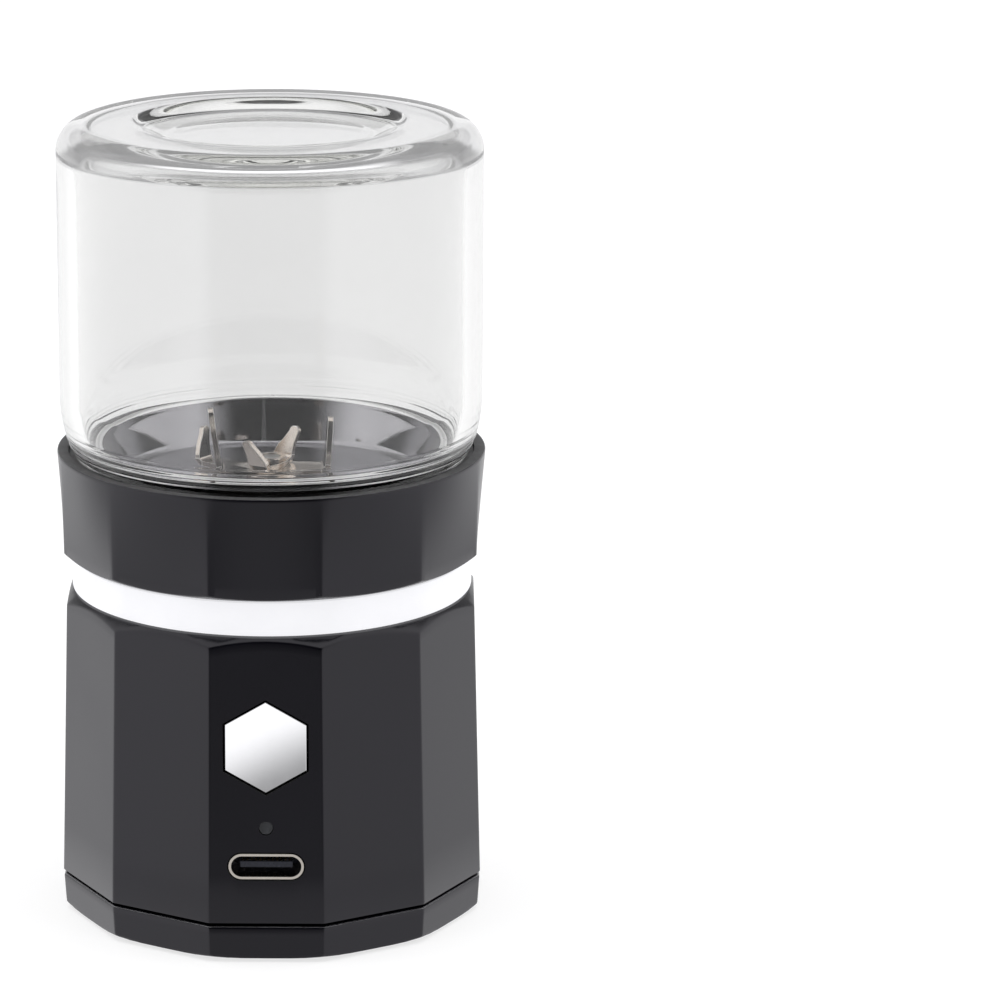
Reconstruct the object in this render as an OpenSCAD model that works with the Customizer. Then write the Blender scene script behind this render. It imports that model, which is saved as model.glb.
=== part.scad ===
// Rechargeable herb grinder: an inverted glass jar over a steel dish with three stacked
// blades, a flared collar, a white light ring, a twelve-sided battery body and a base cap.
// Units are millimetres. +Z is up, the resting plane is z = 0, the button faces -Y.

/* [Body] */
// circumradius of the twelve-sided body at its lower edge
body_r_low = 26.49; // [26.2:0.05:26.8]
// circumradius of the body at the corners of its top chamfer
body_r_high = 25.56; // [25.4:0.05:25.8]
// radius of the round bore inside the body shell
shell_bore_r = 22.9; // [22.8:0.05:23.1]
// radius of the body's round top edge, under the light ring
body_top_r = 24.3; // [24.1:0.05:24.5]
// height of the conical chamfer that cuts the facet tops
body_chamfer_h = 1.14; // [0.8:0.02:1.4]
// depth below the deck of the body's solid top
deck_t = 3.0; // [2.8:0.1:3.2]

/* [Base cap] */
// how far the foot pads stand below the cap
foot_proud = 0.5; // [0.3:0.1:0.8]
// height of the cap's visible wall
cap_h = 4.1; // [3.9:0.1:4.3]
// radius of the cap's turned foot circle
cap_foot_r = 25.3; // [25.0:0.1:25.5]
// height of the parting groove between the cap and the body
groove_h = 0.4; // [0.3:0.05:0.5]

/* [Light ring and collar] */
// outer radius of the white light ring
ring_r = 24.35; // [24.2:0.05:24.5]
// height from the deck to the collar's lower edge
ring_h = 4.6; // [4.4:0.1:4.8]
// inradius of the collar's faceted lower edge
collar_r_low = 24.9; // [24.7:0.05:25.1]
// radius of the collar's round top rim
collar_r_high = 26.0; // [25.8:0.05:26.2]
// height of the collar
collar_h = 12.6; // [12.4:0.1:12.8]
// radius of the collar's bore for the jar neck
collar_bore_r = 24.6; // [24.55:0.05:24.7]

/* [Jar] */
// outer radius of the glass jar
jar_r = 25.6; // [25.3:0.1:25.8]
// height of the closed jar top above the resting plane
jar_top_z = 97.1; // [92:1:104]
// wall thickness of the jar
jar_wall = 2.3; // [2.0:0.1:2.6]
// thickness of the jar's closed end
jar_end_t = 2.2; // [2:0.1:3.4]
// radius of the pushed-in middle of the closed end
punt_r = 12.2; // [11:0.2:14]
// width of the sloping step round the pushed-in middle
punt_step = 4.4; // [3:0.2:6]
// depth of the pushed-in middle of the closed end
punt_depth = 1.5; // [1:0.1:2]
// outer radius of the jar neck
neck_r = 23.9; // [23.8:0.05:24.0]
// inner radius of the jar neck
neck_bore_r = 22.1; // [22.05:0.05:22.2]

/* [Dish] */
// thickness of the pressed steel dish
dish_t = 0.6; // [0.5:0.05:0.7]
// inner radius of the dish floor
dish_floor_r = 18.6; // [18.2:0.1:19.0]
// outer radius of the dish rim
dish_rim_r = 21.7; // [21.6:0.05:21.75]
// height from the dish floor to its rim
dish_depth = 6.0; // [5.6:0.1:6.4]

/* [Blades] */
// thickness of each blade
blade_t = 0.7; // [0.6:0.05:0.8]
// reach of the long lower blade to its bend
lower_reach = 10.2; // [9.5:0.1:10.8]
// reach of the middle blade to its bend
middle_reach = 6.7; // [6.2:0.1:7.2]
// reach of the short upper blade to its bend
upper_reach = 2.9; // [2.8:0.1:3.2]
// height of the fin on the lower blade
lower_fin_h = 4.3; // [3.8:0.1:4.6]
// height of the tall fin on the middle blade
tall_fin_h = 7.8; // [7:0.1:8]
// height of the short fin on the middle blade
short_fin_h = 6.2; // [5.5:0.1:6.6]
// height of the two fins on the upper blade
upper_fin_h = 4.5; // [4:0.1:4.9]

/* [Front controls] */
// width across the flats of the hexagonal button
button_af = 9.65; // [9.3:0.05:9.8]
// height of the button's centre
button_z = 26.8; // [26.4:0.1:27.2]
// gap around the button
button_gap = 0.15; // [0.12:0.01:0.2]
// distance the button travels
button_travel = 0.6; // [0.4:0.1:0.7]
// height of the indicator's centre
indicator_z = 16.9; // [16.6:0.1:17.2]
// radius of the indicator window
indicator_r = 0.8; // [0.7:0.05:1.0]
// height of the charging socket's centre
usb_z = 12.1; // [11.9:0.1:12.4]

/* [Motor] */
// outer radius of the motor can
motor_r = 12.2; // [12.0:0.05:12.3]
// length of the motor can
motor_h = 30.4; // [29:0.1:30.8]
// radius of the motor shaft
shaft_r = 1.15; // [1.1:0.01:1.16]

/* [Hidden] */
$fn = 96;
sides = 12;
half_step = 180 / sides;
cap_z0 = foot_proud;
cap_z1 = cap_z0 + cap_h;
body_z0 = cap_z1 + groove_h;
body_z1 = body_z0 + 35;
body_corner_z = body_z1 - body_chamfer_h;
body_slope = (body_r_low - body_r_high) / (body_corner_z - body_z0);
facet_tilt = atan(body_slope * cos(half_step));
collar_z0 = body_z1 + ring_h;
collar_z1 = collar_z0 + collar_h;
ledge_z = collar_z0 + 2.8;
gasket_z = collar_z0 + 4.4;
mouth_z = gasket_z + 1.3;
mount_z = ledge_z + 0.1;
mount_t = 2.9;
mount_r = 19.8;
dish_z = collar_z0 + 7.9;
blade_z = dish_z + 0.6;
can_z1 = ledge_z;
can_z0 = can_z1 - motor_h;
can_wall = 1.0;
post_x = 16.9;
post_y = 9.75;
post_r = 2.6;
collar_screw_r = 17.5;
board_y = 19.4;
board_t = 1.2;
chassis_z = cap_z0 + 12;
chassis_t = 1.4;
big = 80;

black_satin = [0.07, 0.07, 0.08];
black_matte = [0.05, 0.05, 0.055];
steel = [0.78, 0.77, 0.75];
white_glow = [0.97, 0.97, 1.0];
clear_glass = [0.85, 0.9, 0.88, 0.35];
green_board = [0.05, 0.3, 0.15];
copper = [0.72, 0.42, 0.22];
gold = [0.85, 0.68, 0.3];
silicone = [0.1, 0.1, 0.1];

// inradius of the body facets at height z
function facet_r(z) = (body_r_low - (z - body_z0) * body_slope) * cos(half_step);

// twelve-sided frustum with a facet facing -Y
module twelve_sided(r_low, r_high, h) {
    rotate([0, 0, half_step])
        cylinder(r1 = r_low, r2 = r_high, h = h, $fn = sides);
}

// copies at the four chassis posts
module at_posts() {
    for (x = [-post_x, post_x])
        for (y = [-post_y, post_y])
            translate([x, y, 0])
                children();
}

// copies at the four collar screws
module at_collar_screws() {
    for (k = [0 : 3])
        rotate([0, 0, 90 * k])
            translate([collar_screw_r, 0, 0])
                children();
}

// frame on the front facet at height z: the facet is y = 0 and +y goes into the body
module on_facet(z) {
    translate([0, -facet_r(z), z])
        rotate([-facet_tilt, 0, 0])
            children();
}

// upright tube between two heights
module tube(r_out, r_in, z0, z1) {
    translate([0, 0, z0])
        difference() {
            cylinder(r = r_out, h = z1 - z0);
            translate([0, 0, -1])
                cylinder(r = r_in, h = z1 - z0 + 2);
        }
}

// pan-head screw: head from z = 0 upward, shank downward, cross recess in the head
module pan_screw(head_r, head_h, shank_r, shank_l) {
    difference() {
        cylinder(r = head_r, h = head_h);
        translate([0, 0, head_h])
            cube([head_r * 1.2, 0.5, head_h], center = true);
        translate([0, 0, head_h])
            cube([0.5, head_r * 1.2, head_h], center = true);
    }
    translate([0, 0, -shank_l])
        cylinder(r = shank_r, h = shank_l + 0.1);
}

// round wire along a list of points
module wire(points, r) {
    for (i = [0 : len(points) - 2]) {
        step = points[i + 1] - points[i];
        run = norm(step);
        translate(points[i])
            rotate([0, acos(step[2] / run), atan2(step[1], step[0])])
                cylinder(r = r, h = run, $fn = 24);
    }
    for (p = [for (i = [1 : len(points) - 2]) points[i]])
        translate(p)
            sphere(r = r, $fn = 24);
}

// ---- jar ----

shoulder_z = collar_z1 + 7.2;
shoulder_a = 2.95;
shoulder_b = 8.3;
neck_top_z = shoulder_z - shoulder_b * sqrt(1 - pow(1 - (jar_r - neck_r) / shoulder_a, 2));
cavity_r = jar_r - jar_wall;
top_round = 3.25;
inner_round = 2.2;
bore_z = shoulder_z
    - shoulder_b * sqrt(1 - pow(1 - (jar_r - jar_wall - neck_bore_r) / shoulder_a, 2));

// radius of the jar's outer shoulder at height z
function shoulder_r(z) =
    jar_r - shoulder_a * (1 - sqrt(1 - pow((shoulder_z - z) / shoulder_b, 2)));

// depth of the closed end's hollow at a fraction t of the way in across its step
function dip(t) = punt_depth * t * t * (3 - 2 * t);

// outer half-section of the jar, from the mouth to the closed end
function jar_outer() = concat(
    [[neck_r, mouth_z + 0.4], [neck_r, neck_top_z]],
    [for (i = [1 : 18])
        let (z = neck_top_z + (shoulder_z - neck_top_z) * i / 18)
        [shoulder_r(z), z]],
    [for (i = [0 : 16])
        let (a = 90 * i / 16)
        [jar_r - top_round * (1 - cos(a)), jar_top_z - top_round * (1 - sin(a))]],
    [for (i = [0 : 12])
        let (t = i / 12)
        [punt_r + punt_step * (1 - t), jar_top_z - dip(t)]],
    [[0, jar_top_z - punt_depth]]
);

// inner half-section of the jar, from the closed end to the mouth
function jar_inner() = concat(
    [[0, jar_top_z - jar_end_t - punt_depth]],
    [for (i = [0 : 12])
        let (t = 1 - i / 12)
        [punt_r - 0.6 + punt_step * (1 - t), jar_top_z - jar_end_t - dip(t)]],
    [for (i = [0 : 8])
        let (a = 90 - 90 * i / 8)
        [cavity_r - inner_round * (1 - cos(a)), jar_top_z - jar_end_t - inner_round * (1 - sin(a))]],
    [for (i = [0 : 14])
        let (z = shoulder_z - (shoulder_z - bore_z) * i / 14)
        [shoulder_r(z) - jar_wall, z]],
    [[neck_bore_r, mouth_z + 0.4], [neck_bore_r + 0.4, mouth_z], [neck_r - 0.4, mouth_z]]
);

module glass_jar() {
    color(clear_glass)
        rotate_extrude()
            polygon(concat(jar_outer(), jar_inner()));
}

module jar_seal() {
    color(silicone)
        difference() {
            union() {
                tube(collar_bore_r - 0.25, neck_r + 0.02, mouth_z + 0.5, collar_z1 - 0.35);
                for (z = [mouth_z + 1.6, mouth_z + 3.6, collar_z1 - 0.65])
                    tube(collar_bore_r - 0.08, neck_r + 0.02, z - 0.3, z + 0.3);
            }
        }
}

module neck_gasket() {
    color(silicone)
        tube(collar_bore_r - 0.1, 21.6, gasket_z, gasket_z + 1.0);
}

// ---- collar and light ring ----

// facets cut into a slightly flared cone: deep at the lower edge, gone at the rim
module collar_skin() {
    corner_r = collar_r_low / cos(half_step);
    translate([0, 0, collar_z0])
        intersection() {
            twelve_sided(corner_r, (collar_r_high + 0.06) / cos(half_step), collar_h);
            rotate([0, 0, half_step])
                cylinder(r1 = corner_r + 0.02, r2 = collar_r_high, h = collar_h);
        }
}

collar_pillar_r = 2.5;
collar_chamfer = 0.25;

module collar() {
    color(black_satin)
        difference() {
            union() {
                intersection() {
                    collar_skin();
                    translate([0, 0, collar_z0])
                        rotate([0, 0, half_step])
                            cylinder(r1 = collar_r_low - collar_chamfer,
                                r2 = collar_r_low - collar_chamfer + 1.9 * collar_h, h = collar_h);
                }
                at_collar_screws()
                    translate([0, 0, body_z1 + 0.05])
                        cylinder(r = collar_pillar_r, h = ring_h + 1);
            }
            translate([0, 0, collar_z0 - 1])
                cylinder(r = 14.4, h = collar_h + 2);
            translate([0, 0, ledge_z])
                cylinder(r = mount_r + 0.1, h = collar_h);
            translate([0, 0, mount_z + mount_t])
                cylinder(r = collar_bore_r, h = collar_h);
            tube(collar_bore_r, 21.5, gasket_z, collar_z1);
            at_collar_screws()
                translate([0, 0, body_z1])
                    cylinder(r = 1.0, h = ring_h + 1.8);
        }
}

module collar_screws() {
    color(steel)
        at_collar_screws()
            translate([0, 0, body_z1 - deck_t - 0.05])
                mirror([0, 0, 1])
                    pan_screw(1.9, 1.5, 0.97, 9.2);
}

module light_ring() {
    color(white_glow)
        difference() {
            union() {
                tube(ring_r - 0.35, 21.0, body_z1, collar_z0);
                tube(ring_r, 21.0, body_z1 + 0.25, collar_z0 - 0.25);
            }
        }
}

led_board_z = body_z1 + 0.1;

module led_board() {
    color(green_board)
        difference() {
            tube(20.3, 15.2, led_board_z, led_board_z + 1.0);
            at_collar_screws()
                translate([0, 0, led_board_z - 1])
                    cylinder(r = collar_pillar_r + 0.2, h = 3);
        }
}

module led_chips() {
    color(white_glow)
        for (k = [0 : 11])
            rotate([0, 0, half_step + 30 * k])
                translate([18.9, -1.4, led_board_z + 1.0])
                    cube([1.2, 2.8, 0.9]);
}

module led_leads() {
    color([0.7, 0.1, 0.1])
        for (x = [2.4, 4.2])
            wire([[x, -board_y + board_t + 0.3, 32], [x, -12.8, 36],
                [x, -12.8, led_board_z + 1.55], [x, -15.6, led_board_z + 1.55]], 0.4);
}

// ---- body ----

pocket_y = 23.2;
pocket_x = 7.6;
usb_w = 8.94;
usb_h = 3.16;

// stadium-shaped bar along y
module stadium(w, h, y0, y1) {
    translate([0, y1, 0])
        rotate([90, 0, 0])
            linear_extrude(y1 - y0)
                union() {
                    square([w - h, h], center = true);
                    translate([-(w - h) / 2, 0])
                        circle(d = h);
                    translate([(w - h) / 2, 0])
                        circle(d = h);
                }
}

// hexagonal bar along y with a corner pointing up
module hexagon(af, y0, y1) {
    translate([0, y1, 0])
        rotate([90, 0, 0])
            linear_extrude(y1 - y0)
                rotate(30)
                    circle(d = af / cos(30), $fn = 6);
}

// turned blank whose cone cuts the facet tops
module body_blank() {
    run = 3;
    slope = body_chamfer_h / (body_r_high - body_top_r);
    translate([0, 0, 0])
        rotate_extrude()
            polygon([[0, body_z0 - 1], [body_r_high + run, body_z0 - 1],
                [body_r_high + run, body_corner_z - run * slope],
                [body_top_r, body_z1], [0, body_z1]]);
}

module body_shell() {
    color(black_satin)
        difference() {
            intersection() {
                translate([0, 0, body_z0])
                    twelve_sided(body_r_low, body_r_low - 40 * body_slope, 40);
                body_blank();
            }
            translate([0, 0, body_z0 - 1])
                cylinder(r = shell_bore_r, h = body_z1 - deck_t - body_z0 + 1);
            translate([0, 0, body_z1 - deck_t - 1])
                cylinder(r = 14.2, h = deck_t + 2);
            translate([-pocket_x, -pocket_y, usb_z - 4.4])
                cube([2 * pocket_x, 8, 25.5]);
            on_facet(button_z)
                hexagon(button_af + 2 * button_gap, -2, 4);
            on_facet(indicator_z)
                rotate([-90, 0, 0])
                    translate([0, 0, -2])
                        cylinder(r = indicator_r + 0.05, h = 6);
            translate([0, -facet_r(usb_z), usb_z])
                stadium(usb_w + 0.3, usb_h + 0.3, -2, 4);
            at_collar_screws()
                translate([0, 0, body_z1 - deck_t - 1])
                    cylinder(r = 1.15, h = deck_t + 2);
            at_posts() {
                translate([0, 0, body_z1 - deck_t - 1])
                    cylinder(r = 1.15, h = deck_t + 2);
                translate([0, 0, body_z1 - 1.6])
                    cylinder(r = 2.1, h = 3);
            }
        }
}

module deck_screws() {
    color(steel)
        at_posts()
            translate([0, 0, body_z1 - 1.55])
                pan_screw(1.9, 1.45, 0.97, 9);
}

// ---- base cap ----

cap_bore_r = 21.3;
cap_floor_t = 1.8;
cap_boss_r = 3.4;
pad_r = 4.4;
pad_recess = 0.9;

// turned blank that rounds the cap's lower edge to a circle
module cap_blank() {
    corner_r = body_r_low + 0.1;
    corner_h = 1.15;
    steps = 8;
    rotate_extrude()
        polygon(concat([[0, cap_z0]],
            [for (i = [0 : steps])
                let (a = 90 * i / steps)
                [cap_foot_r + (corner_r - cap_foot_r) * sin(a), cap_z0 + corner_h * (1 - cos(a))]],
            [[corner_r, cap_z1 + 1], [0, cap_z1 + 1]]));
}

module base_cap() {
    bevel = 0.22;
    color(black_satin)
        difference() {
            union() {
                intersection() {
                    translate([0, 0, cap_z0])
                        union() {
                            twelve_sided(26.18, 26.45, cap_h - bevel);
                            translate([0, 0, cap_h - bevel])
                                twelve_sided(26.45, 26.2, bevel);
                        }
                    cap_blank();
                }
                tube(shell_bore_r - 0.2, cap_bore_r, cap_z1 - 0.5, cap_z1 + 3.4);
            }
            difference() {
                translate([0, 0, cap_z0 + cap_floor_t])
                    cylinder(r = cap_bore_r, h = 10);
                at_posts()
                    translate([0, 0, cap_z0])
                        cylinder(r = cap_boss_r, h = cap_h);
            }
            at_posts() {
                translate([0, 0, cap_z0 - 1])
                    cylinder(r = pad_r + 0.05, h = pad_recess + 1);
                translate([0, 0, cap_z0])
                    cylinder(r = 2.1, h = 2.7);
                translate([0, 0, cap_z0])
                    cylinder(r = 1.15, h = 8);
                translate([0, 0, cap_z1])
                    cylinder(r = post_r + 0.15, h = 8);
            }
            translate([-13, -30, cap_z1])
                cube([26, 14, 10]);
        }
}

module base_screws() {
    color(steel)
        at_posts()
            translate([0, 0, cap_z0 + 2.65])
                mirror([0, 0, 1])
                    pan_screw(1.9, 1.6, 0.97, 8);
}

module foot_pads() {
    edge = 0.3;
    color(silicone)
        at_posts() {
            cylinder(r1 = pad_r - edge, r2 = pad_r, h = edge);
            translate([0, 0, edge])
                cylinder(r = pad_r, h = foot_proud + pad_recess - edge);
        }
}

// ---- front controls ----

flange_y0 = 2.2;
flange_y1 = 3.0;

module power_button() {
    edge = 0.2;
    color(steel)
        on_facet(button_z) {
            intersection() {
                hexagon(button_af, 0.1, flange_y0 + 0.2);
                rotate([-90, 0, 0])
                    translate([0, 0, 0.1])
                        cylinder(r1 = button_af / 2 + 0.65, r2 = button_af / 2 + 3, h = 3);
            }
            hexagon(button_af + 2.6, flange_y0, flange_y1);
        }
}

switch_y = board_y + 1.6;

module switch_plunger() {
    color(black_matte)
        translate([0, -switch_y - 0.85, button_z])
            rotate([-90, 0, 0])
                cylinder(r = 1.1, h = 1.6);
}

module switch_body() {
    color([0.3, 0.3, 0.32])
        difference() {
            translate([-2.6, -switch_y, button_z - 2.6])
                cube([5.2, switch_y - board_y, 5.2]);
            translate([0, -switch_y - 1, button_z])
                rotate([-90, 0, 0])
                    cylinder(r = 1.4, h = 2.45);
        }
}

module indicator_pipe() {
    color([0.9, 0.92, 0.95, 0.6])
        on_facet(indicator_z)
            rotate([-90, 0, 0]) {
                translate([0, 0, 0.08])
                    cylinder(r = indicator_r, h = 4.2);
                translate([0, 0, 2.35])
                    cylinder(r = 1.5, h = 0.6);
            }
}

module indicator_led() {
    color(white_glow)
        translate([-0.8, -board_y - 0.8, indicator_z - 0.4])
            cube([1.6, 0.8, 0.8]);
}

usb_y = facet_r(usb_z) - 0.04;
usb_wall = 0.3;

module usb_shell() {
    color(steel)
        translate([0, 0, usb_z])
            difference() {
                stadium(usb_w, usb_h, -usb_y, -board_y - 0.05);
                stadium(usb_w - 2 * usb_wall, usb_h - 2 * usb_wall, -usb_y - 1, -board_y - 0.8);
            }
}

module usb_tongue() {
    color(black_matte)
        translate([0, 0, usb_z]) {
            translate([-3.1, -usb_y + 0.85, -0.35])
                cube([6.2, usb_y - board_y - 2.4, 0.7]);
            stadium(usb_w - 2 * usb_wall - 0.04, usb_h - 2 * usb_wall - 0.04,
                -board_y - 1.6, -board_y - 0.82);
        }
}

module usb_contacts() {
    color(gold)
        for (side = [-1, 1])
            for (k = [0 : 11])
                translate([-2.75 + 0.5 * k - 0.12, -usb_y + 1.3, usb_z + side * 0.39 - 0.03])
                    cube([0.24, 2.2, 0.06]);
}

module main_board() {
    color(green_board)
        difference() {
            translate([-11.5, -board_y, usb_z - 3.7])
                cube([23, board_t, 26]);
            for (x = [-10, 10])
                translate([x, -board_y - 1, button_z + 5.6])
                    rotate([-90, 0, 0])
                        cylinder(r = 0.9, h = 4);
        }
}

module board_parts() {
    back = -board_y + board_t + 0.01;
    color([0.12, 0.12, 0.13]) {
        translate([-7.5, back, 20])
            cube([4, 1.0, 4]);
        translate([-1.8, back, 22])
            cube([3.9, 1.2, 4.9]);
        translate([4.4, back, 21])
            cube([4, 2.2, 4]);
        translate([-8.4, back, 27])
            cube([3.2, 0.8, 1.6]);
        translate([7.6, back, 26.6])
            cube([1.6, 0.8, 3.2]);
        translate([-9.5, back, 15])
            cube([2, 1.0, 1.25]);
    }
}

// ---- inner frame and battery ----

module chassis() {
    guide_h = 20;
    color(black_matte)
        difference() {
            union() {
                translate([0, 0, chassis_z])
                    cylinder(r = shell_bore_r - 0.3, h = chassis_t);
                at_posts()
                    translate([0, 0, cap_z1 + 0.05])
                        cylinder(r = post_r, h = body_z1 - deck_t - cap_z1 - 0.1);
                tube(motor_r + 1.3, motor_r + 0.1, chassis_z, chassis_z + 9);
                intersection() {
                    for (x = [-1, 1])
                        translate([x * 12.9 - 0.9, -board_y - 0.2, chassis_z])
                            cube([1.8, board_t + 3.4, guide_h]);
                    translate([0, 0, chassis_z])
                        cylinder(r = shell_bore_r - 0.3, h = guide_h);
                }
            }
            translate([-11.6, -big / 2, chassis_z - 1])
                cube([23.2, big / 2 - board_y + board_t + 1.0, 40]);
            translate([0, 0, chassis_z - 1])
                cylinder(r = 9, h = chassis_t + 2);
            for (x = [-6, 6])
                translate([x - 1, -16, chassis_z + chassis_t])
                    cube([2, 8, 1.4]);
            at_posts() {
                translate([0, 0, cap_z1])
                    cylinder(r = 1.0, h = 8);
                translate([0, 0, body_z1 - deck_t - 8.5])
                    cylinder(r = 1.0, h = 9);
            }
        }
}

battery_z0 = cap_z0 + cap_floor_t + 0.2;
battery_h = 8.8;

module battery_cell() {
    r = 1.5;
    color([0.72, 0.74, 0.78])
        translate([0, 1.5, battery_z0])
            linear_extrude(battery_h)
                union() {
                    square([26, 29 - 2 * r], center = true);
                    square([26 - 2 * r, 29], center = true);
                    for (x = [-1, 1])
                        for (y = [-1, 1])
                            translate([x * (13 - r), y * (14.5 - r)])
                                circle(r = r);
                }
}

module battery_pad() {
    color([0.2, 0.2, 0.22])
        translate([-10, -9, battery_z0 + battery_h + 0.05])
            cube([20, 21, 0.8]);
}

module battery_leads() {
    color([0.7, 0.1, 0.1])
        for (x = [-4, 4])
            wire([[x, -13.05, 8], [x, -15.4, 8], [x, -15.4, 10.4],
                [x, -board_y + board_t + 0.02, 10.4]], 0.5);
}

// ---- motor ----

boss_r = 3.1;
boss_h = 1.5;
bush_r = 2.3;

module motor_can() {
    color(steel)
        difference() {
            union() {
                translate([0, 0, can_z0])
                    cylinder(r = motor_r, h = motor_h);
                translate([0, 0, can_z1 - 0.1])
                    cylinder(r = boss_r, h = boss_h + 0.1);
            }
            translate([0, 0, can_z0 - 1])
                cylinder(r = motor_r - can_wall, h = motor_h - 0.2);
            translate([0, 0, can_z0])
                cylinder(r = bush_r, h = motor_h + 5);
            for (x = [-8, 8])
                translate([x, 0, can_z1 - 3])
                    cylinder(r = 1.25, h = 5);
        }
}

module motor_endcap() {
    color(black_matte)
        difference() {
            union() {
                tube(motor_r - 0.4, 2.3, can_z0 - 2.1, can_z0 - 0.05);
                tube(motor_r - can_wall - 0.05, motor_r - can_wall - 1.2, can_z0 - 0.1, can_z0 + 1.6);
            }
            for (x = [-6, 6])
                translate([x - 1.3, -0.5, can_z0 - 3])
                    cube([2.6, 1, 5]);
        }
}

module motor_magnets() {
    color([0.25, 0.24, 0.24])
        difference() {
            tube(motor_r - can_wall - 0.05, 8.3, can_z0 + 4, can_z0 + 25);
            for (s = [0, 180])
                rotate([0, 0, 90 + s])
                    translate([0, -4, can_z0])
                        cube([20, 8, motor_h]);
        }
}

module motor_bushes() {
    color(gold) {
        tube(bush_r - 0.02, shaft_r + 0.05, can_z1 - 1.2, can_z1 + boss_h - 0.2);
        tube(2.28, shaft_r + 0.05, can_z0 - 2.0, can_z0 - 0.1);
    }
}

module motor_terminals() {
    color(gold)
        for (x = [-6, 6])
            translate([x - 1.2, -0.35, can_z0 - 4.1])
                cube([2.4, 0.7, 5.4]);
}

module motor_leads() {
    color([0.1, 0.1, 0.6])
        for (x = [-6, 6])
            wire([[x, -0.4, can_z0 - 2.65], [x, -15.0, can_z0 - 2.65], [x, -15.0, 18],
                [x, -board_y + board_t + 0.02, 18]], 0.45);
}

module motor_mount() {
    color([0.35, 0.35, 0.37])
        difference() {
            translate([0, 0, mount_z])
                cylinder(r = mount_r, h = mount_t);
            translate([0, 0, mount_z - 1])
                cylinder(r = boss_r + 0.2, h = mount_t + 2);
            for (x = [-8, 8]) {
                translate([x, 0, mount_z - 1])
                    cylinder(r = 1.4, h = mount_t + 2);
                translate([x, 0, mount_z + 1.3])
                    cylinder(r = 2.4, h = mount_t);
            }
        }
}

module motor_screws() {
    color(steel)
        for (x = [-8, 8])
            translate([x, 0, mount_z + 1.35])
                pan_screw(2.2, 1.4, 1.2, 3.4);
}

module motor_shaft() {
    color(steel)
        translate([0, 0, can_z0 - 1.9])
            cylinder(r = shaft_r, h = blade_z + 2.6 - can_z0 + 1.9);
}

module armature() {
    slot_w = 1.6;
    color(copper)
        difference() {
            tube(7.9, shaft_r + 0.02, can_z0 + 5, can_z0 + 24);
            for (k = [0 : 2])
                rotate([0, 0, 60 + 120 * k])
                    translate([5, -slot_w / 2, can_z0])
                        cube([10, slot_w, motor_h]);
        }
}

module commutator() {
    color(gold)
        tube(2.8, shaft_r + 0.02, can_z0 + 1.0, can_z0 + 4.6);
}

// ---- dish and seals ----

module chamber_dish() {
    slant = (dish_rim_r - 0.5 - dish_t) - dish_floor_r;
    top = dish_z + dish_depth;
    color(steel)
        rotate_extrude()
            polygon([[3.25, dish_z - dish_t], [dish_floor_r - 0.6, dish_z - dish_t],
                [dish_floor_r + 0.3, dish_z - dish_t + 0.3],
                [dish_floor_r + dish_t, dish_z + 0.5],
                [dish_floor_r + slant + dish_t, top - 0.9],
                [dish_rim_r, top - 0.6], [dish_rim_r, top - 0.15], [dish_rim_r - 0.15, top],
                [dish_rim_r - 0.55, top], [dish_floor_r + slant, top - 0.5],
                [dish_floor_r, dish_z + 0.9], [dish_floor_r - 0.3, dish_z + 0.3],
                [dish_floor_r - 0.9, dish_z], [3.25, dish_z]]);
}

module dish_pad() {
    color(silicone)
        tube(20.9, 6.0, mount_z + mount_t + 0.02, dish_z - dish_t - 0.02);
}

module shaft_seal() {
    color(silicone)
        difference() {
            union() {
                translate([0, 0, dish_z - 1.8])
                    cylinder(r = 3.2, h = 1.9);
                translate([0, 0, dish_z + 0.02])
                    cylinder(r1 = 4.6, r2 = 4.3, h = 0.33);
            }
            translate([0, 0, dish_z - 3])
                cylinder(r = shaft_r + 0.08, h = 5);
        }
}

// ---- blades ----

hub_r = 3.0;
sleeve_r = 1.9;
sleeve_h = 3 * blade_t;

module blade_hub() {
    color(steel)
        difference() {
            union() {
                translate([0, 0, blade_z - 0.2])
                    cylinder(r = hub_r, h = 0.2);
                translate([0, 0, blade_z - 0.1])
                    cylinder(r = sleeve_r, h = sleeve_h + 0.1);
            }
            translate([0, 0, blade_z - 1])
                cylinder(r = shaft_r + 0.02, h = sleeve_h + 3);
        }
}

module blade_nut() {
    top = 0.6;
    color(steel)
        translate([0, 0, blade_z + sleeve_h + 0.02])
            difference() {
                intersection() {
                    rotate([0, 0, 30])
                        cylinder(r = 2.4, h = top, $fn = 6);
                    cylinder(r1 = 2.7, r2 = 2.1, h = top);
                }
                translate([0, 0, -1])
                    cylinder(r = shaft_r + 0.02, h = top + 2);
            }
}

// outline of a swept fin: base from -w/2 to w/2, tip carried sideways by lean
function fin_outline(w, h, lean, tip) = concat(
    [for (i = [0 : 10])
        let (t = i / 10)
        [w / 2 + (lean - (w - tip) / 2) * pow(t, 1.9), (h - tip / 2) * t]],
    [for (i = [1 : 7])
        let (a = 180 * i / 8)
        [lean + tip / 2 * cos(a), h - tip / 2 + tip / 2 * sin(a)]],
    [for (i = [0 : 10])
        let (t = 1 - i / 10)
        [-w / 2 + (lean + (w - tip) / 2) * pow(t, 1.25), (h - tip / 2) * t]]
);

// one arm along +x, bent up at reach into a fin that tips outward by splay
module arm(reach, w_root, w_end, fin_w, fin_h, lean, tip, splay) {
    linear_extrude(blade_t)
        polygon([[0, -w_root / 2], [reach, -w_end / 2], [reach, w_end / 2], [0, w_root / 2]]);
    translate([reach, 0, blade_t])
        rotate([90, 0, 0])
            translate([0, 0, -fin_w / 2])
                cylinder(r = blade_t, h = fin_w, $fn = 48);
    translate([reach, 0, blade_t])
        rotate([0, splay, 0])
            rotate([90, 0, 90])
                linear_extrude(blade_t)
                    polygon(fin_outline(fin_w, fin_h, lean, tip));
}

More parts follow.
